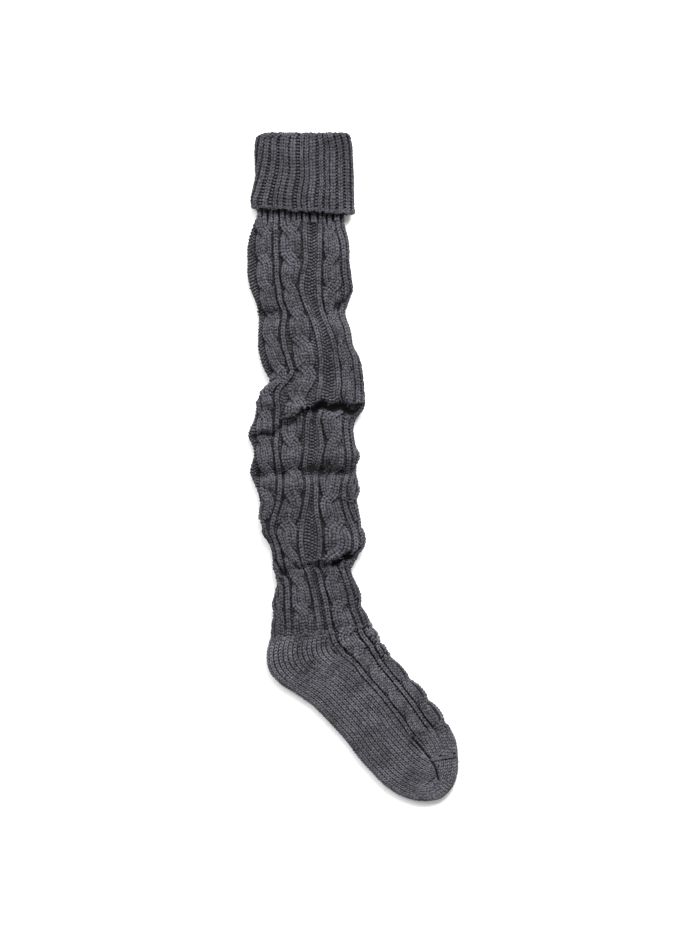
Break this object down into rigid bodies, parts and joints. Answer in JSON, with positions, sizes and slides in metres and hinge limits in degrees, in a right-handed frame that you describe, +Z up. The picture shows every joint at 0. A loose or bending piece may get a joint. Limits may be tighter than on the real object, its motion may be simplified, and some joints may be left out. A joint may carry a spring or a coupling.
{
  "type": "over-the-knee sock",
  "caption": "Over-the-knee sock in thick cable knit, laid flat on its side, with a turned-down ribbed cuff, bunched cabled leg, plain heel, sole and toe.",
  "frame": {"origin": "middle of the sock's bounding box, on the surface it lies on", "axes": "+Y up the leg towards the cuff, +X from the back of the leg to its front, +Z up off the surface"},
  "size_m": [0.2116, 0.667, 0.0231],
  "materials": {
    "rib_knit": "charcoal wool-blend yarn in single rib, matte",
    "cable_knit": "charcoal wool-blend yarn in cables, ribs and purl ladders, matte",
    "foot_knit": "charcoal wool-blend yarn in plain knit, matte"
  },
  "bodies": {
    "root": {"ribbed_cuff": "rib_knit", "cabled_leg": "cable_knit", "foot": "foot_knit"}
  },
  "joints": []
}
